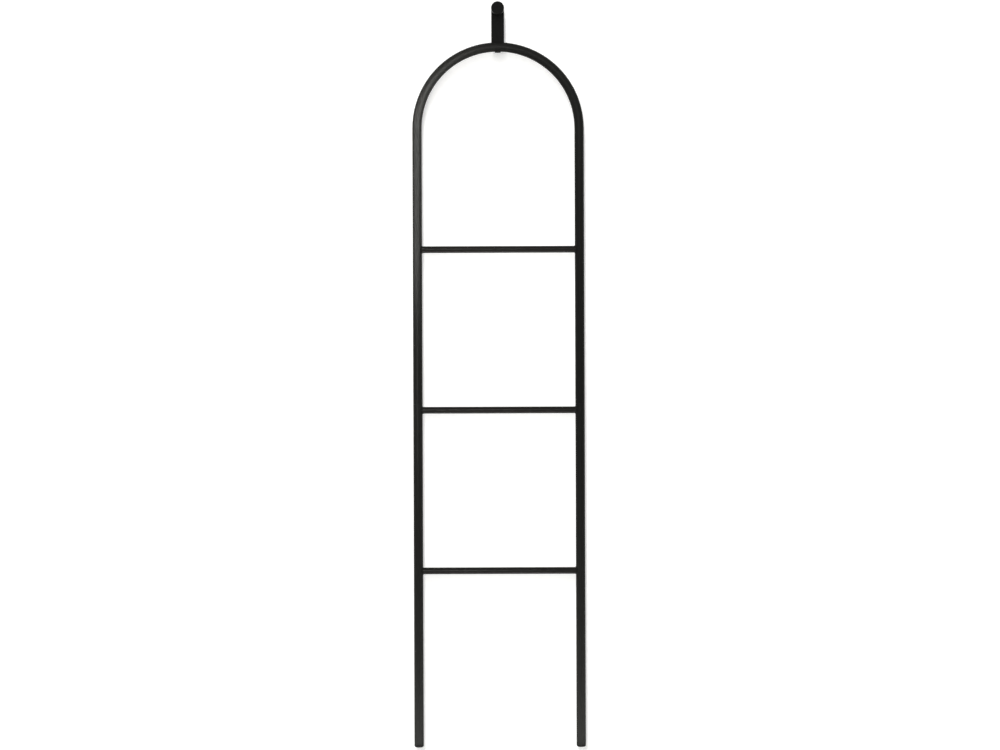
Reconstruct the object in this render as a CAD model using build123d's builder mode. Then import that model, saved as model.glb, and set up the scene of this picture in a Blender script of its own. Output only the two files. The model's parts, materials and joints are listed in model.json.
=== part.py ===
"""Wall-hung towel ladder: an arched tube frame that hangs on one bolt behind a round peg.

Lengths are millimetres. The origin lies on the hanger bolt's axis in the wall's plane.
+X is to the right, +Z is up and the room is on the -Y side, so a depth is a distance
from the wall into the room, and Plane.XZ.offset(depth) is the plane at that depth.
"""
import os

from build123d import *

os.makedirs("parts", exist_ok=True)

# ---- Driving dimensions: the tube frame ----
stile_diameter = 22.0
stile_wall = 1.2
rung_diameter = 16.0
rung_wall = 1.0
stile_spacing = 378.0          # between the axes of the two stiles
rack_height = 1643.0           # from the feet to the top of the crown
lowest_rung_height = 411.0     # from the feet to the lowest rung's axis
rung_pitch = 374.5
weld_leg = 1.0                 # bead size, along the stile and along the rung
weld_bevel = 0.7               # slope of the bead's face
joint_gap = 0.05               # between a coped tube end and the tube it is welded to
edge_break = 0.3               # chamfer on each sawn tube end and on a foot cap's shoulder

# ---- Driving dimensions: the joint between the upper and the lower frame ----
seam_above_rung = 14.0         # from the middle rung's axis to the legs' top ends
seam_gap = 0.2
spigot_length = 104.0
spigot_wall = 2.5
spigot_clearance = 0.1
spigot_screw_offset = 34.0     # from the seam to each screw
spigot_screw_diameter = 5.0
spigot_screw_head_diameter = 9.5
spigot_screw_head_height = 2.75
spigot_screw_head_dome = 1.9
spigot_screw_grip = 3.0        # shank beyond the spigot's wall
spigot_screw_socket = 3.0      # across flats
spigot_screw_socket_depth = 1.5

# ---- Driving dimensions: foot caps ----
foot_head_height = 7.0
foot_corner_radius = 4.5
foot_stem_length = 20.0
foot_stem_clearance = 0.55     # radial, stem to tube bore
foot_rib_clearance = 0.05      # radial, rib to tube bore
foot_rib_width = 1.4
foot_rib_pitch = 5.0
foot_first_rib = 3.0           # from the head's shoulder to the first rib's lower face
foot_stem_wall = 2.6
foot_stem_chamfer = 0.9

# ---- Driving dimensions: hanger arm and its screw ----
hang_drop = 88.0               # from the bolt's axis to the crown's centreline
arm_width = 30.0
arm_thickness = 12.0
arm_edge_radius = 2.5
saddle_clearance = 0.05
arm_screw_diameter = 6.0
arm_screw_reach = 22.0         # from the crown's top into the arm
arm_screw_head_diameter = 14.0
arm_screw_head_height = 1.9
arm_screw_head_edge = 0.6
arm_screw_socket = 4.0         # across flats
arm_screw_socket_depth = 2.6
arm_tap_spare = 3.0            # tapped hole beyond the screw's end
spacer_diameter = 10.0
spacer_top_rise = 1.2          # above the crown, into the arm's foot
spacer_bottom_drop = 0.15      # below the crown, so that it stops the screw's head

# ---- Driving dimensions: wall fixture, pivot and peg ----
wall_gap = 40.0                # from the wall to the arm's back
standoff_diameter = 30.0
standoff_wall = 3.0
standoff_nose = 12.0           # solid front end, tapped for the bolt
standoff_edge_radius = 1.0
pad_thickness = 2.0
pad_inset = 0.3                # pad's rim inside the standoff's rim
washer_diameter = 22.0
washer_thickness = 1.0
bolt_diameter = 8.0
bolt_end_chamfer = 0.8
wood_thread_diameter = 7.0
wood_thread_root = 5.0
wood_thread_pitch = 3.0
wood_thread_turns = 16
wood_thread_tip = 4.0
plug_diameter = 10.0
plug_length = 60.0
plug_collar_diameter = 14.0
plug_collar_thickness = 1.0
plug_slit_width = 1.2
plug_solid_length = 14.0       # unslit stretch behind the collar
bush_diameter = 12.0
axial_play = 0.1               # each side of the arm
running_clearance = 0.05       # radial, in every bore that turns or is threaded
free_clearance = 0.2           # radial, in every bore that only passes a screw or a spacer
ring_diameter = 22.0
ring_thickness = 2.0
ring_recess_depth = 1.2        # how far the glide ring sits in the peg
peg_diameter = 30.0
peg_length = 21.0
peg_front_radius = 1.5
peg_back_radius = 0.6
peg_thread_depth = 15.0        # bolt inside the peg
peg_bore_spare = 1.5           # bore beyond the bolt's end

# ---- Derived places ----
stile_radius = stile_diameter / 2
rung_radius = rung_diameter / 2
stile_bore_radius = stile_radius - stile_wall
half_spacing = stile_spacing / 2

standoff_front = wall_gap - axial_play - washer_thickness
bush_back = wall_gap - axial_play
bush_front = wall_gap + arm_thickness + axial_play
frame_depth = wall_gap + arm_thickness / 2
ring_front = bush_front + ring_thickness
peg_back = ring_front - ring_recess_depth
bolt_front = peg_back + peg_thread_depth

crown_z = -hang_drop
crown_top = crown_z + stile_radius
crown_bottom = crown_z - stile_radius
arch_z = crown_z - half_spacing
feet_z = crown_top - rack_height
rung_z = {
    "rung_lower": feet_z + lowest_rung_height,
    "rung_middle": feet_z + lowest_rung_height + rung_pitch,
    "rung_upper": feet_z + lowest_rung_height + 2 * rung_pitch,
}
leg_bottom = feet_z + foot_head_height
leg_top = rung_z["rung_middle"] + seam_above_rung
arch_end = leg_top + seam_gap
seam_z = leg_top + seam_gap / 2
spigot_screw_z = (seam_z - spigot_screw_offset, seam_z + spigot_screw_offset)
foot_rib_room = foot_stem_length - foot_stem_chamfer - foot_first_rib - foot_rib_width
foot_rib_count = 1 + int(foot_rib_room // foot_rib_pitch)

frame_plane = Plane.XZ.offset(frame_depth)
stile_places = {"left": (-half_spacing, -frame_depth), "right": (half_spacing, -frame_depth)}


# ======================================================================================
# Wall fixture
# ======================================================================================

# Nylon plug: collared, slit crosswise behind its solid mouth.
with BuildPart() as wall_plug:
    with BuildSketch(Plane.XZ):
        Circle(plug_diameter / 2)
    extrude(amount=-plug_length)
    with BuildSketch(Plane.XZ):
        Circle(plug_collar_diameter / 2)
    extrude(amount=plug_collar_thickness)
    with BuildSketch(Plane.XZ.offset(-plug_solid_length)):
        for slit_angle in (45, 135):
            Rectangle(plug_diameter + plug_slit_width, plug_slit_width, rotation=slit_angle)
    extrude(amount=-plug_length, mode=Mode.SUBTRACT)
    with BuildSketch(Plane.XZ):
        Circle(wood_thread_diameter / 2 + running_clearance)
    extrude(amount=-plug_length, mode=Mode.SUBTRACT)
    with BuildSketch(Plane.XZ):
        Circle(bolt_diameter / 2 + running_clearance)
    extrude(amount=plug_collar_thickness, mode=Mode.SUBTRACT)
wall_plug.part.label = "wall_plug"
export_step(wall_plug.part, "parts/wall_plug.step")

# Hanger bolt: coarse thread in the plug, plain-crested machine thread towards the room.
thread_root_radius = wood_thread_root / 2
thread_crest_radius = wood_thread_diameter / 2
thread_points = []
for turn in range(wood_thread_turns):
    root_y = turn * wood_thread_pitch
    thread_points.append((thread_root_radius, root_y))
    thread_points.append((thread_crest_radius, root_y + wood_thread_pitch / 2))
thread_end = wood_thread_turns * wood_thread_pitch
with BuildPart() as hanger_bolt:
    with BuildSketch(Plane.XY):
        with BuildLine():
            Polyline(
                (0, 0),
                *thread_points,
                (thread_root_radius, thread_end),
                (0, thread_end + wood_thread_tip),
                close=True,
            )
        make_face()
    revolve(axis=Axis.Y)
    with BuildSketch(Plane.XZ):
        Circle(bolt_diameter / 2)
    extrude(amount=bolt_front)
    chamfer(hanger_bolt.edges().sort_by(Axis.Y)[0], length=bolt_end_chamfer)
hanger_bolt.part.label = "hanger_bolt"
export_step(hanger_bolt.part, "parts/hanger_bolt.step")

# Rubber pad under the standoff's rim.
with BuildPart() as standoff_pad:
    with BuildSketch(Plane.XZ):
        Circle(standoff_diameter / 2 - pad_inset)
        Circle(standoff_diameter / 2 - standoff_wall, mode=Mode.SUBTRACT)
    extrude(amount=pad_thickness)
standoff_pad.part.label = "standoff_pad"
export_step(standoff_pad.part, "parts/standoff_pad.step")

# Standoff: a turned cup, open to the wall, with a tapped nose.
with BuildPart() as wall_standoff:
    with BuildSketch(Plane.XZ.offset(pad_thickness)):
        Circle(standoff_diameter / 2)
    extrude(amount=standoff_front - pad_thickness)
    with BuildSketch(Plane.XZ.offset(pad_thickness)):
        Circle(standoff_diameter / 2 - standoff_wall)
    extrude(amount=standoff_front - standoff_nose - pad_thickness, mode=Mode.SUBTRACT)
    fillet(wall_standoff.faces().sort_by(Axis.Y)[0].edges(), radius=standoff_edge_radius)
    with BuildSketch(Plane.XZ.offset(standoff_front)):
        Circle(bolt_diameter / 2 + running_clearance)
    extrude(amount=-standoff_front, mode=Mode.SUBTRACT)
wall_standoff.part.label = "wall_standoff"
export_step(wall_standoff.part, "parts/wall_standoff.step")

# Nylon washer between the standoff and the arm.
with BuildPart() as rear_washer:
    with BuildSketch(Plane.XZ.offset(standoff_front)):
        Circle(washer_diameter / 2)
        Circle(bolt_diameter / 2 + running_clearance, mode=Mode.SUBTRACT)
    extrude(amount=washer_thickness)
rear_washer.part.label = "rear_washer"
export_step(rear_washer.part, "parts/rear_washer.step")

# Pivot bush: a little longer than the arm is thick, so that the arm stays free to swing.
with BuildPart() as pivot_bush:
    with BuildSketch(Plane.XZ.offset(bush_back)):
        Circle(bush_diameter / 2)
        Circle(bolt_diameter / 2 + running_clearance, mode=Mode.SUBTRACT)
    extrude(amount=bush_front - bush_back)
pivot_bush.part.label = "pivot_bush"
export_step(pivot_bush.part, "parts/pivot_bush.step")

# ======================================================================================
# Peg
# ======================================================================================

# Glide ring: held in the peg's recess, bears on the bush and doesn't turn with the peg.
with BuildPart() as glide_ring:
    with BuildSketch(Plane.XZ.offset(bush_front)):
        Circle(ring_diameter / 2)
        Circle(bolt_diameter / 2 + running_clearance, mode=Mode.SUBTRACT)
    extrude(amount=ring_thickness)
glide_ring.part.label = "glide_ring"
export_step(glide_ring.part, "parts/glide_ring.step")

# Round peg: a turned knob with a blind tapped bore.
with BuildPart() as hook_peg:
    with BuildSketch(Plane.XZ.offset(peg_back)):
        Circle(peg_diameter / 2)
    extrude(amount=peg_length)
    peg_rims = hook_peg.edges().filter_by(GeomType.CIRCLE).sort_by(Axis.Y)
    fillet(peg_rims[0], radius=peg_front_radius)
    fillet(peg_rims[-1], radius=peg_back_radius)
    with BuildSketch(Plane.XZ.offset(peg_back)):
        Circle(ring_diameter / 2 + running_clearance)
    extrude(amount=ring_recess_depth, mode=Mode.SUBTRACT)
    with BuildSketch(Plane.XZ.offset(peg_back)):
        Circle(bolt_diameter / 2 + running_clearance)
    extrude(amount=peg_thread_depth + peg_bore_spare, mode=Mode.SUBTRACT)
hook_peg.part.label = "hook_peg"
export_step(hook_peg.part, "parts/hook_peg.step")

# ======================================================================================
# Hanger arm and crown
# ======================================================================================

spacer_bore = spacer_diameter / 2 + free_clearance / 2

# Arm: a flat bar with a round top, coped over the crown.
with BuildPart() as hanger_arm:
    with BuildSketch(Plane.XZ.offset(wall_gap)):
        Circle(arm_width / 2)
        with Locations((0, -hang_drop / 2)):
            Rectangle(arm_width, hang_drop)
    extrude(amount=arm_thickness)
    fillet(hanger_arm.faces().filter_by(Axis.Y).edges(), radius=arm_edge_radius)
    with Locations((0, -frame_depth, arch_z)):
        Torus(
            half_spacing,
            stile_radius + saddle_clearance,
            rotation=(90, 0, 0),
            mode=Mode.SUBTRACT,
        )
    with BuildSketch(Plane.XZ):
        Circle(bush_diameter / 2 + running_clearance)
    extrude(amount=wall_gap + 2 * arm_thickness, mode=Mode.SUBTRACT)
    with BuildSketch(Plane.XY.offset(crown_z)):
        with Locations((0, -frame_depth)):
            Circle(spacer_bore)
    extrude(amount=stile_radius + spacer_top_rise, mode=Mode.SUBTRACT)
    with BuildSketch(Plane.XY.offset(crown_top)):
        with Locations((0, -frame_depth)):
            Circle(arm_screw_diameter / 2 + running_clearance)
    extrude(amount=arm_screw_reach + arm_tap_spare, mode=Mode.SUBTRACT)
hanger_arm.part.label = "hanger_arm"
export_step(hanger_arm.part, "parts/hanger_arm.step")

# Spacer: keeps the screw from crushing the crown and pegs the arm's foot in place.
spacer_bottom = crown_bottom - spacer_bottom_drop
spacer_top = crown_top + spacer_top_rise
with BuildPart() as crown_spacer:
    with BuildSketch(Plane.XY.offset(spacer_bottom)):
        with Locations((0, -frame_depth)):
            Circle(spacer_diameter / 2)
            Circle(arm_screw_diameter / 2 + free_clearance, mode=Mode.SUBTRACT)
    extrude(amount=spacer_top - spacer_bottom)
crown_spacer.part.label = "crown_spacer"
export_step(crown_spacer.part, "parts/crown_spacer.step")

# Arm screw: a low head under the crown and a hexagon socket.
screw_head_bottom = spacer_bottom - arm_screw_head_height
with BuildPart() as arm_screw:
    with BuildSketch(Plane.XY.offset(screw_head_bottom)):
        with Locations((0, -frame_depth)):
            Circle(arm_screw_head_diameter / 2)
    extrude(amount=arm_screw_head_height)
    fillet(arm_screw.edges().sort_by(Axis.Z)[0], radius=arm_screw_head_edge)
    with BuildSketch(Plane.XY.offset(spacer_bottom)):
        with Locations((0, -frame_depth)):
            Circle(arm_screw_diameter / 2)
    extrude(amount=crown_top + arm_screw_reach - spacer_bottom)
    with BuildSketch(Plane.XY.offset(screw_head_bottom)):
        with Locations((0, -frame_depth)):
            RegularPolygon(arm_screw_socket / 2, 6, major_radius=False)
    extrude(amount=arm_screw_socket_depth, mode=Mode.SUBTRACT)
arm_screw.part.label = "arm_screw"
export_step(arm_screw.part, "parts/arm_screw.step")

# ======================================================================================
# Upper and lower frames
# ======================================================================================

# Arch tube: both upper stiles and the crown in one bent tube.
with BuildPart() as arch_tube:
    with BuildLine(frame_plane) as arch_path:
        Line((half_spacing, arch_end), (half_spacing, arch_z))
        CenterArc((0, arch_z), half_spacing, 0, 180)
        Line((-half_spacing, arch_z), (-half_spacing, arch_end))
    with BuildSketch(Plane.XY.offset(arch_end)):
        with Locations(stile_places["right"]):
            Circle(stile_radius)
            Circle(stile_bore_radius, mode=Mode.SUBTRACT)
    sweep(path=arch_path.wires()[0])
    sawn_edges = arch_tube.edges().group_by(Axis.Z)[0].sort_by(SortBy.RADIUS)[-2:]
    chamfer(sawn_edges, length=edge_break)
    with BuildSketch(Plane.XY.offset(crown_z - stile_diameter)):
        with Locations((0, -frame_depth)):
            Circle(spacer_bore)
    extrude(amount=2 * stile_diameter, mode=Mode.SUBTRACT)
    with BuildSketch(frame_plane):
        with Locations((-half_spacing, spigot_screw_z[1]), (half_spacing, spigot_screw_z[1])):
            Circle(spigot_screw_diameter / 2 + free_clearance)
    extrude(amount=-stile_diameter, mode=Mode.SUBTRACT)
arch_tube.part.label = "arch_tube"
export_step(arch_tube.part, "parts/arch_tube.step")

# Legs, their spigots and their foot caps.
for side, place in stile_places.items():
    with BuildPart() as leg_tube:
        with BuildSketch(Plane.XY.offset(leg_bottom)):
            with Locations(place):
                Circle(stile_radius)
                Circle(stile_bore_radius, mode=Mode.SUBTRACT)
        extrude(amount=leg_top - leg_bottom)
        sawn_edges = leg_tube.edges().filter_by(GeomType.CIRCLE).sort_by(SortBy.RADIUS)[-2:]
        chamfer(sawn_edges, length=edge_break)
        with BuildSketch(frame_plane):
            with Locations((place[0], spigot_screw_z[0])):
                Circle(spigot_screw_diameter / 2 + free_clearance)
        extrude(amount=-stile_diameter, mode=Mode.SUBTRACT)
    leg_tube.part.label = f"{side}_leg_tube"
    export_step(leg_tube.part, f"parts/{side}_leg_tube.step")

    with BuildPart() as spigot:
        with BuildSketch(Plane.XY.offset(seam_z - spigot_length / 2)):
            with Locations(place):
                Circle(stile_bore_radius - spigot_clearance)
                Circle(stile_bore_radius - spigot_clearance - spigot_wall, mode=Mode.SUBTRACT)
        extrude(amount=spigot_length)
        with BuildSketch(frame_plane):
            with Locations((place[0], spigot_screw_z[0]), (place[0], spigot_screw_z[1])):
                Circle(spigot_screw_diameter / 2 + running_clearance)
        extrude(amount=-stile_diameter, mode=Mode.SUBTRACT)
    spigot.part.label = f"{side}_spigot"
    export_step(spigot.part, f"parts/{side}_spigot.step")

    with BuildPart() as foot_cap:
        with BuildSketch(Plane.XY.offset(feet_z)):
            with Locations(place):
                Circle(stile_radius)
        extrude(amount=foot_head_height)
        fillet(foot_cap.edges().sort_by(Axis.Z)[0], radius=foot_corner_radius)
        chamfer(foot_cap.edges().sort_by(Axis.Z)[-1], length=edge_break)
        with BuildSketch(Plane.XY.offset(leg_bottom)):
            with Locations(place):
                Circle(stile_bore_radius - foot_stem_clearance)
        extrude(amount=foot_stem_length)
        chamfer(foot_cap.edges().sort_by(Axis.Z)[-1], length=foot_stem_chamfer)
        for rib in range(foot_rib_count):
            rib_z = leg_bottom + foot_first_rib + rib * foot_rib_pitch
            with BuildSketch(Plane.XY.offset(rib_z)):
                with Locations(place):
                    Circle(stile_bore_radius - foot_rib_clearance)
            extrude(amount=foot_rib_width)
        with BuildSketch(Plane.XY.offset(leg_bottom)):
            with Locations(place):
                Circle(stile_bore_radius - foot_stem_clearance - foot_stem_wall)
        extrude(amount=foot_stem_length, mode=Mode.SUBTRACT)
    foot_cap.part.label = f"{side}_foot_cap"
    export_step(foot_cap.part, f"parts/{side}_foot_cap.step")

# Spigot screws: four button heads on the wall side, two in each stile.
screw_head_depth = frame_depth - stile_radius
screw_shank = stile_wall + spigot_clearance + spigot_wall + spigot_screw_grip
with BuildPart() as spigot_screws:
    for x, z in [(x, z) for x in (-half_spacing, half_spacing) for z in spigot_screw_z]:
        with BuildSketch(Plane.XZ.offset(screw_head_depth)):
            with Locations((x, z)):
                Circle(spigot_screw_head_diameter / 2)
        extrude(amount=-spigot_screw_head_height)
        with BuildSketch(Plane.XZ.offset(screw_head_depth)):
            with Locations((x, z)):
                Circle(spigot_screw_diameter / 2)
        extrude(amount=screw_shank)
    head_faces = spigot_screws.faces().filter_by(Axis.Y).group_by(Axis.Y)[-1]
    fillet(head_faces.edges(), radius=spigot_screw_head_dome)
    with BuildSketch(Plane.XZ.offset(screw_head_depth - spigot_screw_head_height)):
        with Locations(*[(x, z) for x in (-half_spacing, half_spacing) for z in spigot_screw_z]):
            RegularPolygon(spigot_screw_socket / 2, 6, major_radius=False)
    extrude(amount=spigot_screw_socket_depth, mode=Mode.SUBTRACT)
spigot_screws.part.label = "spigot_screws"
export_step(spigot_screws.part, "parts/spigot_screws.step")

# Rungs: coped tubes with a weld bead round each end, made as half a rung and mirrored.
for rung_name, height in rung_z.items():
    with BuildPart() as rung:
        with Locations((half_spacing, -frame_depth, height)):
            Cylinder(stile_radius + weld_leg, 4 * rung_diameter)
            Cylinder(
                rung_radius + weld_leg,
                stile_diameter,
                rotation=(0, 90, 0),
                align=(Align.CENTER, Align.CENTER, Align.MAX),
                mode=Mode.INTERSECT,
            )
        bead_face = rung.faces().filter_by(GeomType.CYLINDER).sort_by(Axis.X)[0]
        chamfer(bead_face.outer_wire().edges(), length=weld_bevel)
        with BuildSketch(Plane.YZ):
            with Locations((-frame_depth, height)):
                Circle(rung_radius)
        extrude(amount=half_spacing)
        with Locations((half_spacing, -frame_depth, height)):
            Cylinder(stile_radius + joint_gap, 5 * rung_diameter, mode=Mode.SUBTRACT)
        with BuildSketch(Plane.YZ):
            with Locations((-frame_depth, height)):
                Circle(rung_radius - rung_wall)
        extrude(amount=half_spacing, mode=Mode.SUBTRACT)
        mirror(about=Plane.YZ)
    rung.part.label = rung_name
    export_step(rung.part, f"parts/{rung_name}.step")
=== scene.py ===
"""Looks of a wall-hung towel ladder: its finishes, small pieces, light and camera.

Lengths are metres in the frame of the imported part: +X is to the right, +Z is up, the wall
is the plane y = 0 and the room lies on its -Y side.
"""
import json
import logging
import math
from dataclasses import dataclass
from enum import Enum
from typing import Any, Union

import bpy
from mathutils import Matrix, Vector

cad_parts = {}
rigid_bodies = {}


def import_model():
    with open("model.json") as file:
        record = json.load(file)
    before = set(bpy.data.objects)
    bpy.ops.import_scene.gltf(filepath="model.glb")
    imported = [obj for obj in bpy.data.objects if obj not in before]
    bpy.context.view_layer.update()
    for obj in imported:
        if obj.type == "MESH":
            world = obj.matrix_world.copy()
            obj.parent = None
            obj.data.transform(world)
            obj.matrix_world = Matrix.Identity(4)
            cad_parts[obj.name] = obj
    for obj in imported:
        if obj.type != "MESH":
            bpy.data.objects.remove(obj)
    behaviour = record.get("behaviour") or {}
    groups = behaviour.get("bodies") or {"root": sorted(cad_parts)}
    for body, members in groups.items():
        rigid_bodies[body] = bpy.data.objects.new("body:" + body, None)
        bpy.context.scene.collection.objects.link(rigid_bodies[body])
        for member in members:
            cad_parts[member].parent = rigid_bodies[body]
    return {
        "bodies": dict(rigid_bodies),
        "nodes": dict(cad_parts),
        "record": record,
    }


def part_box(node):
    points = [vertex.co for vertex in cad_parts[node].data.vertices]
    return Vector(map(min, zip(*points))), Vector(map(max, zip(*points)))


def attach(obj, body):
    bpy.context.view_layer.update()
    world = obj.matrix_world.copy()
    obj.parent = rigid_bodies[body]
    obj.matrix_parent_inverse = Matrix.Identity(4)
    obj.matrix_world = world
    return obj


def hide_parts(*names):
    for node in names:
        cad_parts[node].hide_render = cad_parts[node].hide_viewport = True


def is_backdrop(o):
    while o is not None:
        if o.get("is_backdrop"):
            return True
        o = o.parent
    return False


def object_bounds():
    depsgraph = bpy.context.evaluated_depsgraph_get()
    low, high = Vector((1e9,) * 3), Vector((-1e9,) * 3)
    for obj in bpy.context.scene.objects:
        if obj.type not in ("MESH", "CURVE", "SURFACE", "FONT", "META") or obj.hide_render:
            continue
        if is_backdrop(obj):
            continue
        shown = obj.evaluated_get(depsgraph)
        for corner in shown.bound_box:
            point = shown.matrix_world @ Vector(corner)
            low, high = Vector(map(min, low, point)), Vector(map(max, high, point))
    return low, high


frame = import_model()

logging.basicConfig(level=logging.INFO, format="%(name)s: %(message)s")
log = logging.getLogger("towel_ladder")

MM = 0.001
HAIR = 0.01 * MM
MERGE_REACH = 0.002 * MM
INTO_WALL = Vector((0.0, 1.0, 0.0))
DOWN = Vector((0.0, 0.0, -1.0))

WHITE = (1.0, 1.0, 1.0, 1.0)
NOISE_LAYER_GAIN = 0.55

Triple = tuple[float, float, float]
Colour = Triple
Edges = tuple[float, float]  # where a mask is 0 and where it is 1


class Body(Enum):
    """The bodies of the frame that new pieces ride on."""

    WALL_FIXTURE = "wall_fixture"
    RACK = "rack"


class Slot(Enum):
    """The record's material slots."""

    POWDER_COAT = "black_powder_coat"
    SCREWS = "black_screws"
    ZINC = "zinc_steel"
    CAP_PLASTIC = "black_cap_plastic"
    RUBBER = "black_rubber"
    WHITE_NYLON = "white_nylon"
    GREY_NYLON = "grey_nylon"


class Side(Enum):
    """The two stiles, by the sign of their X."""

    LEFT = -1
    RIGHT = 1

    def node(self, part: str) -> str:
        """The name of the node of a part that both sides have."""
        return f"{self.name.lower()}_{part}"


class Rung(Enum):
    """The cross rungs, by their nodes."""

    UPPER = "rung_upper"
    MIDDLE = "rung_middle"
    LOWER = "rung_lower"


# ======================================================================================
# Shader graphs
# ======================================================================================


class Value:
    """A number that varies over a surface; arithmetic on it adds Math nodes to its graph."""

    def __init__(self, graph: "Graph", socket: bpy.types.NodeSocket) -> None:
        """Wraps a float output socket of a node in graph."""
        self.graph = graph
        self.socket = socket

    def _math(self, operation: str, first: Any, second: Any = 0.0) -> "Value":
        """Adds a Math node.

        Args:
            operation: the Math node's operation.
            first: its first input, a number or a Value.
            second: its second input, a number or a Value.

        Returns:
            The node's result.
        """
        node = self.graph.node("ShaderNodeMath", {"operation": operation}, {0: first, 1: second})
        return Value(self.graph, node.outputs[0])

    def __add__(self, other: "Number") -> "Value":
        """self + other."""
        return self._math("ADD", self, other)

    def __radd__(self, other: "Number") -> "Value":
        """other + self."""
        return self._math("ADD", other, self)

    def __sub__(self, other: "Number") -> "Value":
        """self - other."""
        return self._math("SUBTRACT", self, other)

    def __rsub__(self, other: "Number") -> "Value":
        """other - self."""
        return self._math("SUBTRACT", other, self)

    def __mul__(self, other: "Number") -> "Value":
        """self * other."""
        return self._math("MULTIPLY", self, other)

    def size(self) -> "Value":
        """The number without its sign."""
        return self._math("ABSOLUTE", self)

    def step(self, low: float, high: float) -> "Value":
        """Maps low to 0 and high to 1, smooth between and clamped outside.

        Args:
            low: where the result is 0.
            high: where the result is 1.

        Returns:
            The smooth step.
        """
        node = self.graph.node(
            "ShaderNodeMapRange",
            {"interpolation_type": "SMOOTHSTEP"},
            {"Value": self, "From Min": low, "From Max": high, "To Min": 0.0, "To Max": 1.0},
        )
        return Value(self.graph, node.outputs["Result"])


Number = Union[Value, float]


class Graph:
    """The node tree of one material, built from the outputs back."""

    def __init__(self, tree: bpy.types.NodeTree) -> None:
        """Empties the tree, so that it holds only what is added here."""
        self.tree = tree
        tree.nodes.clear()

    def node(self, kind: str, settings: dict[str, Any], inputs: dict[Any, Any]) -> bpy.types.Node:
        """Adds one node.

        Args:
            kind: the node's type.
            settings: properties that are set before its inputs.
            inputs: a number, colour, Value or socket for each input, by name or index.

        Returns:
            The new node.
        """
        node = self.tree.nodes.new(kind)
        for key, setting in settings.items():
            setattr(node, key, setting)
        for key, given in inputs.items():
            source = given.socket if isinstance(given, Value) else given
            if isinstance(source, bpy.types.NodeSocket):
                self.tree.links.new(source, node.inputs[key])
            else:
                node.inputs[key].default_value = source
        return node

    def place(self) -> bpy.types.NodeSocket:
        """The Object coordinates."""
        return self.node("ShaderNodeTexCoord", {}, {}).outputs["Object"]

    def split(self, vector: bpy.types.NodeSocket) -> tuple[Value, Value, Value]:
        """Splits a vector.

        Args:
            vector: the socket to split.

        Returns:
            Its X, Y and Z.
        """
        node = self.node("ShaderNodeSeparateXYZ", {}, {"Vector": vector})
        x, y, z = (Value(self, node.outputs[axis]) for axis in "XYZ")
        return x, y, z

    def noise(
        self,
        size: float,
        detail: float = 2.0,
        stretch: Triple = (1.0, 1.0, 1.0),
        offset: Triple = (0.0, 0.0, 0.0),
    ) -> Value:
        """Soft noise in the object's space.

        Args:
            size: the width of one blotch in metres.
            detail: finer layers on top.
            stretch: how many times longer a blotch is along each axis.
            offset: moves the pattern, so that two noises differ.

        Returns:
            The noise, from 0 to 1 and mostly near 0.5.
        """
        scale = tuple(1.0 / (size * s) for s in stretch)
        mapping = self.node(
            "ShaderNodeMapping",
            {"vector_type": "POINT"},
            {"Vector": self.place(), "Scale": scale, "Location": offset},
        )
        node = self.node(
            "ShaderNodeTexNoise",
            {"noise_dimensions": "3D"},
            {
                "Vector": mapping.outputs["Vector"],
                "Scale": 1.0,
                "Detail": detail,
                "Roughness": NOISE_LAYER_GAIN,
            },
        )
        return Value(self, node.outputs["Fac"])

    def mix(self, mask: Number, first: Any, second: Any) -> bpy.types.NodeSocket:
        """Blends two colours.

        Args:
            mask: 0 gives the first colour and 1 the second.
            first: a colour or a colour socket.
            second: a colour or a colour socket.

        Returns:
            The blended colour.
        """
        pair = [(*c, 1.0) if isinstance(c, tuple) else c for c in (first, second)]
        node = self.node(
            "ShaderNodeMix",
            {"data_type": "RGBA", "clamp_factor": True},
            {0: mask, 6: pair[0], 7: pair[1]},
        )
        return node.outputs[2]

    def seen(self) -> Value:
        """Tells the rays that show a surface from the ones that only light other things.

        Returns:
            1 for rays from the camera, a mirror or a glass, and 0 for others.
        """
        path = self.node("ShaderNodeLightPath", {}, {})
        camera, glossy, glass = (
            Value(self, path.outputs[f"Is {kind} Ray"])
            for kind in ("Camera", "Glossy", "Transmission")
        )
        return camera + glossy + glass

    def bump(self, *layers: tuple[Value, float]) -> bpy.types.NodeSocket:
        """Stacks bumps.

        Args:
            layers: (height from 0 to 1, depth in metres) pairs.

        Returns:
            The bent normal.
        """
        height: Number = 0.0
        for value, depth in layers:
            height = value * depth + height
        node = self.node("ShaderNodeBump", {}, {"Strength": 1.0, "Distance": 1.0, "Height": height})
        return node.outputs["Normal"]


@dataclass(frozen=True)
class Finish:
    """What all finishes share: a name, a slot and a Principled shader."""

    name: str
    slot: Slot
    colour: Colour
    roughness: float
    shade_gain: float = 1.0
    shade_lift: float = 0.0

    def material(self) -> bpy.types.Material:
        """The finish as a material, made on first use.

        Returns:
            The material of this finish's name.
        """
        known = bpy.data.materials.get(self.name)
        if known is not None:
            return known
        material = bpy.data.materials.new(self.name)
        material.use_nodes = True
        graph = Graph(material.node_tree)
        shader = graph.node("ShaderNodeBsdfPrincipled", {}, self.surface(graph))
        graph.node("ShaderNodeOutputMaterial", {}, {"Surface": shader.outputs["BSDF"]})
        return material

    def surface(self, graph: Graph) -> dict[str, Any]:
        """The Principled shader's inputs.

        Args:
            graph: the material's graph, to which nodes are added.

        Returns:
            A value or a socket for each input that isn't at its default.
        """
        raise NotImplementedError

    def shade(self) -> Colour:
        """A lighter shade of the finish's colour: times shade_gain, plus shade_lift.

        Returns:
            The shade, at most white.
        """
        red, green, blue = (
            min(1.0, channel * self.shade_gain + self.shade_lift) for channel in self.colour
        )
        return red, green, blue


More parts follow.
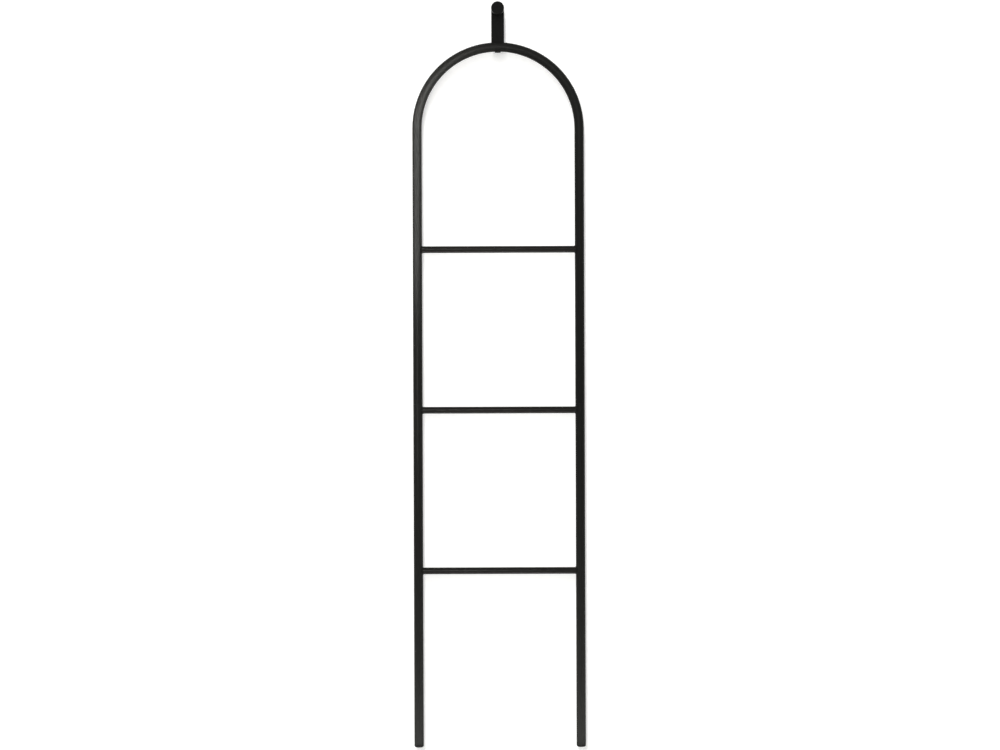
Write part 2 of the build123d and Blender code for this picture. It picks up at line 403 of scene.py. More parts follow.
@dataclass(frozen=True)
class PowderCoat(Finish):
    """Matte black powder coat: a fine grain over a soft orange peel.

    Where towels slide along it, the top of a rung is a little smoother.
    """

    shade_gain: float = 2.0
    shade_lift: float = 0.001
    grain_size: float = 0.45 * MM
    grain_depth: float = 0.035 * MM
    grain_contrast: float = 0.10
    speck_edges: Edges = (0.40, 0.68)
    speck_share: float = 0.6
    peel_size: float = 2.6 * MM
    peel_depth: float = 0.06 * MM
    cloud_size: float = 70 * MM
    cloud_contrast: float = 0.12
    cloud_share: float = 0.3
    sheen: float = 0.070
    rubbed: bool = False
    rubbed_patch: float = 45 * MM
    rubbed_stretch: Triple = (2.5, 1.0, 1.0)
    rubbed_edges: Edges = (0.35, 0.7)
    rubbed_polish: float = 0.12
    top_edges: Edges = (0.35, 0.95)

    def surface(self, graph: Graph) -> dict[str, Any]:
        """The coat's inputs.

        Args:
            graph: the material's graph.

        Returns:
            A value or a socket for each input.
        """
        grain = graph.noise(self.grain_size, detail=1.0)
        peel = graph.noise(self.peel_size, detail=1.0, offset=(3.1, 7.7, 1.3))
        cloud = graph.noise(self.cloud_size, detail=3.0, offset=(9.2, 0.4, 5.8))
        speck = grain.step(*self.speck_edges)
        roughness = self.roughness + (grain - 0.5) * self.grain_contrast
        roughness = roughness + (cloud - 0.5) * self.cloud_contrast
        if self.rubbed:
            space = graph.node("ShaderNodeTexCoord", {}, {})
            top = graph.split(space.outputs["Normal"])[2].step(*self.top_edges)
            patches = graph.noise(self.rubbed_patch, detail=3.0, stretch=self.rubbed_stretch)
            roughness = roughness - top * patches.step(*self.rubbed_edges) * self.rubbed_polish
        light = speck * self.speck_share + cloud * self.cloud_share
        return {
            "Base Color": graph.mix(light, self.colour, self.shade()),
            "Roughness": roughness,
            "Specular IOR Level": self.sheen,
            "Normal": graph.bump((grain, self.grain_depth), (peel, self.peel_depth)),
        }


@dataclass(frozen=True)
class BlackedSteel(Finish):
    """Black-coated steel screws: satin, with a fine grain and handling smears."""

    shade_gain: float = 1.6
    shade_lift: float = 0.002
    grain_size: float = 0.3 * MM
    grain_depth: float = 0.008 * MM
    grain_contrast: float = 0.12
    smear_size: float = 3.0 * MM
    smear_edges: Edges = (0.45, 0.75)
    smear_contrast: float = 0.15
    sheen: float = 0.2

    def surface(self, graph: Graph) -> dict[str, Any]:
        """The coated steel's inputs.

        Args:
            graph: the material's graph.

        Returns:
            A value or a socket for each input.
        """
        grain = graph.noise(self.grain_size, detail=2.0)
        smear = graph.noise(self.smear_size, detail=3.0, offset=(1.9, 4.2, 8.8))
        roughness = self.roughness + (grain - 0.5) * self.grain_contrast
        return {
            "Base Color": graph.mix(smear.step(*self.smear_edges), self.colour, self.shade()),
            "Roughness": roughness + (smear - 0.5) * self.smear_contrast,
            "Specular IOR Level": self.sheen,
            "Normal": graph.bump((grain, self.grain_depth)),
        }


@dataclass(frozen=True)
class ZincPlate(Finish):
    """Bright zinc plate: cloudy steel with faint straw and blue tints."""

    tint_size: float = 9 * MM
    tint_contrast: float = 0.2
    scratch_size: float = 0.25 * MM
    scratch_stretch: Triple = (1.0, 14.0, 14.0)
    scratch_depth: float = 0.004 * MM
    scratch_contrast: float = 0.1
    straw_tint: Colour = (1.04, 0.99, 0.86)
    straw_edges: Edges = (0.5, 0.72)
    blue_tint: Colour = (0.92, 0.97, 1.05)
    blue_edges: Edges = (0.52, 0.75)

    def surface(self, graph: Graph) -> dict[str, Any]:
        """The plate's inputs.

        Args:
            graph: the material's graph.

        Returns:
            A value or a socket for each input.
        """
        tint = graph.noise(self.tint_size, detail=3.0)
        scratch = graph.noise(self.scratch_size, detail=2.0, stretch=self.scratch_stretch)
        straw, blue = (
            tuple(channel * share for channel, share in zip(self.colour, tinted))
            for tinted in (self.straw_tint, self.blue_tint)
        )
        warm = graph.mix(tint.step(*self.straw_edges), self.colour, straw)
        roughness = self.roughness + (tint - 0.5) * self.tint_contrast
        return {
            "Base Color": graph.mix((1 - tint).step(*self.blue_edges), warm, blue),
            "Metallic": 1.0,
            "Roughness": roughness + (scratch - 0.5) * self.scratch_contrast,
            "Normal": graph.bump((scratch, self.scratch_depth)),
        }


@dataclass(frozen=True)
class SprayedZinc(ZincPlate):
    """Zinc plate with a black ring of coat where spray got into the seam over it."""

    seam_z: float = 0.0
    ring_half_width: float = 1.1 * MM
    ring_edge: float = 0.5 * MM
    fray_size: float = 1.5 * MM
    fray_depth: float = 0.8 * MM
    spray_colour: Colour = (0.005, 0.005, 0.005)
    spray_roughness: float = 0.6

    def surface(self, graph: Graph) -> dict[str, Any]:
        """The plate's inputs with the sprayed ring.

        Args:
            graph: the material's graph.

        Returns:
            A value or a socket for each input.
        """
        inputs = super().surface(graph)
        height = graph.split(graph.place())[2]
        fray = graph.noise(self.fray_size, detail=3.0, offset=(2.7, 3.3, 8.1)) * self.fray_depth
        bare = ((height - self.seam_z).size() + fray).step(
            self.ring_half_width, self.ring_half_width + self.ring_edge
        )
        inputs["Base Color"] = graph.mix(bare, self.spray_colour, inputs["Base Color"])
        inputs["Metallic"] = bare
        inputs["Roughness"] = self.spray_roughness + bare * (self.roughness - self.spray_roughness)
        return inputs


@dataclass(frozen=True)
class MouldedPlastic(Finish):
    """Moulded plastic: a fine spark-eroded texture with slow cloudy variation."""

    shade_gain: float = 1.12
    shade_lift: float = 0.003
    texture_size: float = 0.28 * MM
    texture_depth: float = 0.015 * MM
    texture_contrast: float = 0.12
    texture_share: float = 0.6
    cloud_size: float = 12 * MM
    cloud_contrast: float = 0.1
    cloud_share: float = 0.3
    translucency: float = 0.0
    light_reach: float = 1.0 * MM
    sheen: float = 0.5

    def surface(self, graph: Graph) -> dict[str, Any]:
        """The plastic's inputs.

        Args:
            graph: the material's graph.

        Returns:
            A value or a socket for each input.
        """
        texture = graph.noise(self.texture_size, detail=2.0)
        cloud = graph.noise(self.cloud_size, detail=2.0, offset=(6.1, 2.2, 0.7))
        roughness = self.roughness + (texture - 0.5) * self.texture_contrast
        light = texture * self.texture_share + cloud * self.cloud_share
        return {
            "Base Color": graph.mix(light, self.colour, self.shade()),
            "Roughness": roughness + (cloud - 0.5) * self.cloud_contrast,
            "Specular IOR Level": self.sheen,
            "Subsurface Weight": self.translucency,
            "Subsurface Scale": self.light_reach,
            "Normal": graph.bump((texture, self.texture_depth)),
        }


@dataclass(frozen=True)
class Rubber(Finish):
    """Dull rubber with a dusty bloom."""

    shade_lift: float = 0.012
    dust_size: float = 1.2 * MM
    dust_edges: Edges = (0.48, 0.8)
    dust_contrast: float = 0.15
    skin_size: float = 0.35 * MM
    skin_depth: float = 0.02 * MM

    def surface(self, graph: Graph) -> dict[str, Any]:
        """The rubber's inputs.

        Args:
            graph: the material's graph.

        Returns:
            A value or a socket for each input.
        """
        dust = graph.noise(self.dust_size, detail=4.0)
        skin = graph.noise(self.skin_size, detail=2.0, offset=(4.4, 1.1, 2.9))
        return {
            "Base Color": graph.mix(dust.step(*self.dust_edges), self.colour, self.shade()),
            "Roughness": self.roughness + (dust - 0.5) * self.dust_contrast,
            "Normal": graph.bump((skin, self.skin_depth)),
        }


ZINC_COLOUR = (0.55, 0.56, 0.58)
ZINC_ROUGHNESS = 0.34
FINISHES: dict[Slot, Finish] = {
    Slot.POWDER_COAT: PowderCoat("coat_on_tube", Slot.POWDER_COAT, (0.0040, 0.0040, 0.0037), 0.44),
    Slot.SCREWS: BlackedSteel("blacked_screw", Slot.SCREWS, (0.009, 0.009, 0.009), 0.46),
    Slot.ZINC: ZincPlate("zinc_plate", Slot.ZINC, ZINC_COLOUR, ZINC_ROUGHNESS),
    Slot.CAP_PLASTIC: MouldedPlastic(
        "moulded_cap", Slot.CAP_PLASTIC, (0.0080, 0.0080, 0.0075), 0.55, sheen=0.2
    ),
    Slot.RUBBER: Rubber("dull_rubber", Slot.RUBBER, (0.015, 0.015, 0.015), 0.8),
    Slot.WHITE_NYLON: MouldedPlastic(
        "natural_nylon", Slot.WHITE_NYLON, (0.72, 0.71, 0.66), 0.45, translucency=0.15
    ),
    Slot.GREY_NYLON: MouldedPlastic(
        "grey_nylon", Slot.GREY_NYLON, (0.26, 0.27, 0.28), 0.5, translucency=0.08
    ),
}
# The rungs' copy of the tubes' powder coat, darker and warmer than it: painted shade on the rungs.
SHADED_RUNG_COAT = PowderCoat(
    "shaded_coat_on_rung", Slot.POWDER_COAT, (0.0026, 0.0022, 0.0018), 0.30, sheen=0.12, rubbed=True
)


# ======================================================================================
# Modelling
# ======================================================================================


def deselect_all() -> None:
    """Leaves nothing selected, the frame's nodes included."""
    for thing in bpy.context.selected_objects:
        thing.select_set(False)


def face_outwards(piece: bpy.types.Object) -> None:
    """Turns a closed piece's faces outwards.

    Args:
        piece: the piece, in Object mode before and after.
    """
    bpy.context.view_layer.objects.active = piece
    bpy.ops.object.mode_set(mode="EDIT")
    bpy.ops.mesh.select_all(action="SELECT")
    bpy.ops.mesh.normals_make_consistent(inside=False)
    bpy.ops.object.mode_set(mode="OBJECT")


def join(piece: bpy.types.Object, *others: bpy.types.Object) -> None:
    """Joins pieces into the first one.

    Args:
        piece: the piece that stays.
        others: the pieces that become part of it.
    """
    deselect_all()
    for part in (piece, *others):
        part.select_set(True)
    bpy.context.view_layer.objects.active = piece
    bpy.ops.object.join()


def finish_piece(piece: bpy.types.Object, body: Body, finish: Finish, smooth_angle: float) -> None:
    """Puts a modelled piece into the frame.

    Args:
        piece: the piece, with its place already in its mesh or its transform.
        body: the body that it rides on.
        finish: its finish.
        smooth_angle: edges that bend less than this, in degrees, are shaded smooth.
    """
    deselect_all()
    piece.select_set(True)
    bpy.context.view_layer.objects.active = piece
    bpy.ops.object.transform_apply(location=True, rotation=True, scale=True)
    bpy.ops.object.shade_smooth_by_angle(angle=math.radians(smooth_angle))
    piece.data.materials.clear()
    piece.data.materials.append(finish.material())
    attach(piece, body.value)
    piece.select_set(False)
    log.info("%s: %d faces, on %s", piece.name, len(piece.data.polygons), body.value)


def turned(
    name: str, profile: list[tuple[float, float]], centre: Vector, axis: Vector, steps: int
) -> bpy.types.Object:
    """Spins a closed outline about an axis.

    Args:
        name: the piece's name.
        profile: (place along the axis, radius) pairs in order round the outline, off the axis.
        centre: the axis point that places along the axis are measured from.
        axis: the axis's direction, across X.
        steps: how many faces go round.

    Returns:
        The closed ring, in world coordinates.
    """
    deselect_all()
    bpy.ops.mesh.primitive_circle_add(vertices=len(profile), fill_type="NOTHING")
    piece = bpy.context.active_object
    piece.name = name
    for vertex, (along, radius) in zip(piece.data.vertices, profile):
        vertex.co = centre + axis * along + Vector((radius, 0.0, 0.0))
    bpy.ops.object.mode_set(mode="EDIT")
    bpy.ops.mesh.select_all(action="SELECT")
    bpy.ops.mesh.spin(steps=steps, angle=math.tau, center=centre, axis=axis)
    bpy.ops.mesh.select_all(action="SELECT")
    bpy.ops.mesh.remove_doubles(threshold=MERGE_REACH)
    bpy.ops.mesh.normals_make_consistent(inside=False)
    bpy.ops.object.mode_set(mode="OBJECT")
    return piece


def subtract(piece: bpy.types.Object, cutter: bpy.types.Object) -> None:
    """Cuts one solid out of another and throws the cutter away.

    Args:
        piece: the solid that is cut.
        cutter: the solid that is cut out of it.
    """
    cut = piece.modifiers.new("cut", "BOOLEAN")
    cut.operation, cut.solver, cut.object = "DIFFERENCE", "EXACT", cutter
    bpy.context.view_layer.objects.active = piece
    bpy.ops.object.modifier_apply(modifier=cut.name)
    bpy.data.objects.remove(cutter)


def middle(node: str) -> Vector:
    """The middle of a CAD node's box."""
    low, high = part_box(node)
    return (low + high) / 2


def dress(node: str, finish: Finish) -> None:
    """Gives a CAD node a finish."""
    frame["nodes"][node].material_slots[0].material = finish.material()


def stand_for(piece: bpy.types.Object, node: str) -> None:
    """Shows a piece in place of a CAD node.

    Args:
        piece: the detailed piece.
        node: the node that it hides.
    """
    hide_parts(node)
    log.info("%s stands for %s", piece.name, node)


@dataclass
class CrownScrew:
    """The screw under the crown: coat that was sprayed over its spacer's lower end."""

    sprayed_length: float = 2.6 * MM

    def build(self) -> None:
        """Dresses the spacer."""
        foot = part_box("crown_spacer")[0].z
        sprayed = SprayedZinc(
            "zinc_spacer",
            Slot.ZINC,
            ZINC_COLOUR,
            ZINC_ROUGHNESS,
            seam_z=foot,
            ring_half_width=self.sprayed_length,
        )
        dress("crown_spacer", sprayed)


@dataclass
class WallPlug:
    """Nylon wall plug: barbed outside, slit crosswise, with two wings against turning."""

    diameter: float = 10 * MM
    length: float = 60 * MM
    bore: float = 7.1 * MM
    mouth_bore: float = 8.1 * MM
    collar_diameter: float = 14 * MM
    collar_thickness: float = 1 * MM
    collar_edge: float = 0.25 * MM
    neck_length: float = 0.6 * MM
    neck_flare: float = 0.5 * MM
    barb_depth: float = 0.55 * MM
    barb_pitch: float = 3.2 * MM
    barb_face: float = 0.35 * MM
    barb_first: float = 17 * MM
    nose_taper: float = 1.1 * MM
    nose_length: float = 4 * MM
    nose_step: float = 0.2 * MM
    nose_face: float = 0.4 * MM
    slit_angles: tuple[float, float] = (45, 135)
    slit_start: float = 14 * MM
    slit_width: float = 1.2 * MM
    slit_overrun: float = 2 * MM
    wing_start: float = 3 * MM
    wing_length: float = 12 * MM
    wing_height: float = 1.8 * MM
    wing_thickness: float = 1.3 * MM
    wing_sunk: float = 0.4 * MM
    wing_end_rise: float = 0.15 * MM
    wing_taper: float = 0.6
    wing_bevel: float = 0.12 * MM
    steps: int = 72

    def build(self) -> None:
        """Models the plug in the place of its node."""
        plug = turned("plug_body", self.outline(), Vector(), INTO_WALL, self.steps)
        for angle in self.slit_angles:
            subtract(plug, self.slit(angle))
        join(plug, *(self.wing(side) for side in Side))
        finish_piece(plug, Body.WALL_FIXTURE, FINISHES[Slot.GREY_NYLON], smooth_angle=32)
        stand_for(plug, "wall_plug")

    def outline(self) -> list[tuple[float, float]]:
        """The plug's half section, from the mouth's bore round to the collar.

        Returns:
            (place along +Y, radius) pairs.
        """
        radius, bore, collar = self.diameter / 2, self.bore / 2, self.collar_diameter / 2
        tip = self.length
        points = [
            (-self.collar_thickness, self.mouth_bore / 2),
            (0.0, self.mouth_bore / 2),
            (0.0, bore),
            (tip, bore),
            (tip, radius - self.nose_taper),
            (tip - self.nose_length, radius - self.nose_step),
        ]
        place = tip - self.nose_length - self.nose_face
        while place - self.barb_pitch > self.barb_first:
            points.append((place, radius - self.barb_depth))
            points.append((place - self.barb_pitch + self.barb_face, radius))
            place -= self.barb_pitch
        points += [
            (place, radius),
            (self.neck_length, radius),
            (0.0, radius + self.neck_flare),
            (0.0, collar),
            (-self.collar_thickness + self.collar_edge, collar),
            (-self.collar_thickness, collar - self.collar_edge),
        ]
        return points

    def slit(self, angle: float) -> bpy.types.Object:
        """A flat cutter through the plug's back.

        Args:
            angle: its turn about the plug's axis in degrees.

        Returns:
            The cutter.
        """
        reach = self.length - self.slit_start + self.slit_overrun
        deselect_all()
        bpy.ops.mesh.primitive_cube_add(
            size=1.0,
            location=(0.0, self.slit_start + reach / 2, 0.0),
            rotation=(0.0, math.radians(angle), 0.0),
            scale=(self.collar_diameter, reach, self.slit_width),
        )
        return bpy.context.active_object

    def wing(self, side: Side) -> bpy.types.Object:
        """A ramped fin beside the plug's mouth.

        Args:
            side: which side of the plug.

        Returns:
            The fin.
        """
        foot = self.diameter / 2 - self.wing_sunk
        deselect_all()
        bpy.ops.mesh.primitive_cube_add(size=1.0)
        wing = bpy.context.active_object
        for vertex in wing.data.vertices:
            outer, back = vertex.co.x > 0, vertex.co.y > 0
            reach = foot
            if outer:
                reach += self.wing_end_rise if back else self.wing_height + self.wing_sunk
            thickness = self.wing_thickness * (self.wing_taper if outer else 1.0)
            vertex.co = (
                side.value * reach,
                self.wing_start + (self.wing_length if back else 0.0),
                vertex.co.z * thickness,
            )
        bpy.ops.object.mode_set(mode="EDIT")
        bpy.ops.mesh.select_all(action="SELECT")
        bpy.ops.mesh.normals_make_consistent(inside=False)
        bpy.ops.mesh.bevel(offset=self.wing_bevel, segments=2, affect="EDGES")
        bpy.ops.object.mode_set(mode="OBJECT")
        return wing


@dataclass
class HangerBolt:
    """The bolt of two threads: coarse and pointed in the plug, fine towards the room."""

    fine_diameter: float = 8 * MM
    fine_pitch: float = 1.25 * MM
    fine_depth: float = 0.62 * MM
    fine_reach: float = 67.9 * MM
    fine_runout: float = 2 * MM
    fine_steps: int = 6
    end_chamfer: float = 0.8 * MM
    coarse_diameter: float = 7 * MM
    coarse_root: float = 5 * MM
    coarse_pitch: float = 3 * MM
    coarse_reach: float = 48 * MM
    coarse_runout: float = 5 * MM
    coarse_steps: int = 10
    coarse_start: float = 0.15
    flank_slope: float = 1.9
    tip: float = 4 * MM
    tip_shoulder: float = 1.6 * MM
    tip_shoulder_radius: float = 1.8 * MM
    collar: float = 1.5 * MM
    collar_step: float = 0.6 * MM
    steps: int = 36

    def build(self) -> None:
        """Models the bolt in the place of its node."""
        bolt = turned("bolt_body", self.outline(), Vector(), INTO_WALL, self.steps)
        for vertex in bolt.data.vertices:
            vertex.co = self.threaded(vertex.co)
        finish_piece(bolt, Body.WALL_FIXTURE, FINISHES[Slot.ZINC], smooth_angle=50)
        stand_for(bolt, "hanger_bolt")

    def outline(self) -> list[tuple[float, float]]:
        """The bolt's half section, closed by a hair's breadth from the axis.

        Returns:
            (place along +Y, radius) pairs, close enough together for the threads.
        """
        fine, front = self.fine_diameter / 2, -self.fine_reach
        points = [(front, HAIR), (front, fine - self.end_chamfer)]
        step = self.fine_pitch / self.fine_steps
        count = int((self.fine_reach - self.end_chamfer) / step)
        points += [(front + self.end_chamfer + step * i, fine) for i in range(count + 1)]
        points.append((self.collar, fine - self.collar_step))
        step = self.coarse_pitch / self.coarse_steps
        count = int((self.coarse_reach - self.collar) / step)
        coarse = self.coarse_diameter / 2
        points += [(self.collar + step * (i + 1), coarse) for i in range(count)]
        end = self.coarse_reach + self.tip
        points.append((self.coarse_reach + self.tip_shoulder, self.tip_shoulder_radius))
        points.append((end, HAIR))
        return points

    def threaded(self, point: Vector) -> Vector:
        """Moves a point of the blank in to the thread's face.

        Args:
            point: a point of the turned blank.

        Returns:
            Its place on the threaded bolt.
        """
        radius = math.hypot(point.x, point.z)
        turn = math.atan2(point.z, point.x) / math.tau
        if point.y < 0 and radius > self.fine_diameter / 2 - HAIR:
            wave = abs(((point.y / self.fine_pitch + turn) % 1.0) * 2 - 1)
            depth = self.fine_depth * min(1.0, -point.y / self.fine_runout)
            new = radius - depth * wave
        elif point.y > self.collar and radius > self.coarse_diameter / 2 - HAIR:
            wave = abs(((point.y / self.coarse_pitch + turn) % 1.0) * 2 - 1)
            full = (self.coarse_diameter - self.coarse_root) / 2
            behind = (self.coarse_reach - point.y) / self.coarse_runout
            fade = min(1.0, behind + self.coarse_start)
            new = self.coarse_root / 2 + full * fade * max(0.0, 1.0 - wave * self.flank_slope)
        else:
            return point
        return Vector((point.x * new / radius, point.y, point.z * new / radius))


@dataclass
class FootMark:
    """The moulded ring and the gate's pip under a foot cap."""

    ring_radius: float = 3.6 * MM
    ring_width: float = 0.7 * MM
    ring_height: float = 0.22 * MM
    ring_slope: float = 0.15 * MM
    ring_steps: int = 48
    pip_radius: float = 0.8 * MM
    pip_shoulder_radius: float = 0.68 * MM
    pip_top_radius: float = 0.4 * MM
    pip_height: float = 0.3 * MM
    pip_shoulder: float = 0.18 * MM
    pip_steps: int = 24
    sunk: float = 0.1 * MM

    def build(self) -> None:
        """Models the marks under both caps."""
        for side in Side:
            cap = side.node("foot_cap")
            underside = middle(cap)
            underside.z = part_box(cap)[0].z
            self.mark(f"cap_mark_{side.name.lower()}", underside)

    def mark(self, name: str, centre: Vector) -> None:
        """Models the marks under one cap.

        Args:
            name: the piece's name.
            centre: the middle of the cap's underside.
        """
        inner = self.ring_radius - self.ring_width / 2
        outer = self.ring_radius + self.ring_width / 2
        ring = [
            (-self.sunk, inner),
            (self.ring_height, inner + self.ring_slope),
            (self.ring_height, outer - self.ring_slope),
            (-self.sunk, outer),
        ]
        pip = [
            (-self.sunk, HAIR),
            (-self.sunk, self.pip_radius),
            (self.pip_shoulder, self.pip_shoulder_radius),
            (self.pip_height, self.pip_top_radius),
            (self.pip_height, HAIR),
        ]
        piece = turned(name, ring, centre, DOWN, self.ring_steps)
        gate = turned("gate", pip, centre, DOWN, self.pip_steps)
        join(piece, gate)
        finish_piece(piece, Body.RACK, FINISHES[Slot.CAP_PLASTIC], smooth_angle=40)


@dataclass
class TubeFrame:
    """The arch, legs and rungs: sizes of the tubes, and the weld ripples at each rung's ends."""

    stile_radius: float = 11 * MM
    rung_radius: float = 8 * MM
    bead_height: float = 0.5 * MM
    bead_half_width: float = 1.05 * MM
    bead_spread: float = 0.75 * MM
    bead_lift: float = 0.42 * MM
    ripples: int = 46
    ripple_height: float = 0.13
    ripple_skew: float = 0.5
    steps_per_ripple: int = 5
    steps_round_bead: int = 14

    def build(self) -> None:
        """Models the six weld beads, and dresses the rungs and the spigots."""
        seam_z = (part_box("left_leg_tube")[1].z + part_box("arch_tube")[0].z) / 2
        sprayed = SprayedZinc("zinc_in_seam", Slot.ZINC, ZINC_COLOUR, ZINC_ROUGHNESS, seam_z=seam_z)
        for side in Side:
            dress(side.node("spigot"), sprayed)
        for rung in Rung:
            # The rungs get the darker copy of the coat: painted shade.
            dress(rung.value, SHADED_RUNG_COAT)
            for side in Side:
                self.weld(rung, side)

    def weld(self, rung: Rung, side: Side) -> None:
        """Models the bead where a rung meets a stile.

        Args:
            rung: which rung.
            side: which stile.
        """
        centre = middle(rung.value)
        centre.x = middle(side.node("leg_tube")).x
        deselect_all()
        bpy.ops.mesh.primitive_torus_add(
            major_radius=self.rung_radius,
            minor_radius=self.bead_height,
            major_segments=self.ripples * self.steps_per_ripple,
            minor_segments=self.steps_round_bead,
        )
        bead = bpy.context.active_object
        bead.name = f"weld_{rung.name.lower()}_{side.name.lower()}"
        for vertex in bead.data.vertices:
            vertex.co = self.on_saddle(vertex.co, centre, side)
        face_outwards(bead)
        finish_piece(bead, Body.RACK, FINISHES[Slot.POWDER_COAT], smooth_angle=60)

    def on_saddle(self, flat: Vector, centre: Vector, side: Side) -> Vector:
        """Moves a point of a flat ring to the saddle where rung and stile meet.

        Args:
            flat: a point of a ring that lies round Z.
            centre: where the rung's and the stile's axes cross.
            side: which stile.

        Returns:
            The point's place on the rippled bead.
        """
        turn = math.atan2(flat.y, flat.x)
        across = math.hypot(flat.x, flat.y) - self.rung_radius
        roll = math.atan2(flat.z, across)
        from_rung = Vector((0.0, math.cos(turn), math.sin(turn)))
        y = self.rung_radius * from_rung.y
        depth = math.sqrt(self.stile_radius**2 - y**2)
        from_stile = Vector((-side.value * depth, y, 0.0)) / self.stile_radius
        corner = Vector((-side.value * depth, y, self.rung_radius * from_rung.z))
        out = (from_rung + from_stile).normalized()
        along = out.cross(from_rung).normalized().cross(out)
        phase = self.ripples * turn / math.tau - self.ripple_skew * math.cos(roll)
        swell = 1.0 + self.ripple_height * (1.0 - (phase % 1.0) ** 2)
        half_width = self.bead_half_width + self.bead_spread * math.cos(turn) ** 2
        rise = out * (self.bead_lift + swell * self.bead_height * math.cos(roll))
        return centre + corner + rise + along * (swell * half_width * math.sin(roll))


# ======================================================================================
# Studio
# ======================================================================================


@dataclass(frozen=True)
class Card:
    """A flat lamp, in metres, watts and degrees of spread.

    Its place is measured from the point that it is aimed at.
    """

    width: float
    height: float
    power: float
    place: Triple
    spread: float = 180.0


@dataclass(frozen=True)
class SideStrip:
    """A narrow upright lamp close to the left stile.

    Its turn and spread are in degrees, the turn from straight ahead and to the right; its inset
    and drop give the place on the rack that it points at, from the left and from the top.
    """

    turn: float
    spread: float
    length: float
    power: float
    inset: float
    drop: float
    width: float = 0.10
    distance: float = 0.45
    rise: float = 0.12

    def card(self) -> Card:
        """The strip as a lamp.

        Returns:
            Its size, power and place.
        """
        turn = math.radians(self.turn)
        x, y, z = Vector((math.sin(turn), -math.cos(turn), self.rise)) * self.distance
        return Card(self.width, self.length, self.power, (x, y, z), self.spread)


LEFT_STRIPS = (
    SideStrip(-50, 30, 0.50, 0.38, 0.00, 0.43),
    SideStrip(-8, 60, 0.50, 0.64, 0.00, 0.43),
    SideStrip(32, 60, 0.50, 0.67, 0.00, 0.43),
    SideStrip(-12, 60, 0.50, 0.28, 0.00, 0.88),
    SideStrip(45, 60, 0.12, 0.34, 0.03, 0.21),
    SideStrip(5, 60, 0.12, 0.14, 0.03, 0.21),
)
KEY_STRIP = Card(0.60, 8.6, 450.0, (-0.52, -6.0, 0.0))
ARCH_CARD = Card(0.6, 0.2, 2.2, (0.0, -0.7, 0.12))
RUNG_CARD = Card(0.4, 0.1, 1.4, (0.0, -0.05, -0.40))
RUNG_STREAK = Card(0.4, 0.02, 4.0, (-0.14, -1.0, 0.25))
PEG_GLINT = Card(0.18, 0.18, 0.5, (-0.24, -0.01, -0.2))
FLOOR_CARD = Card(2.0, 0.28, 15.0, (0.0, 0.0, -1.0))


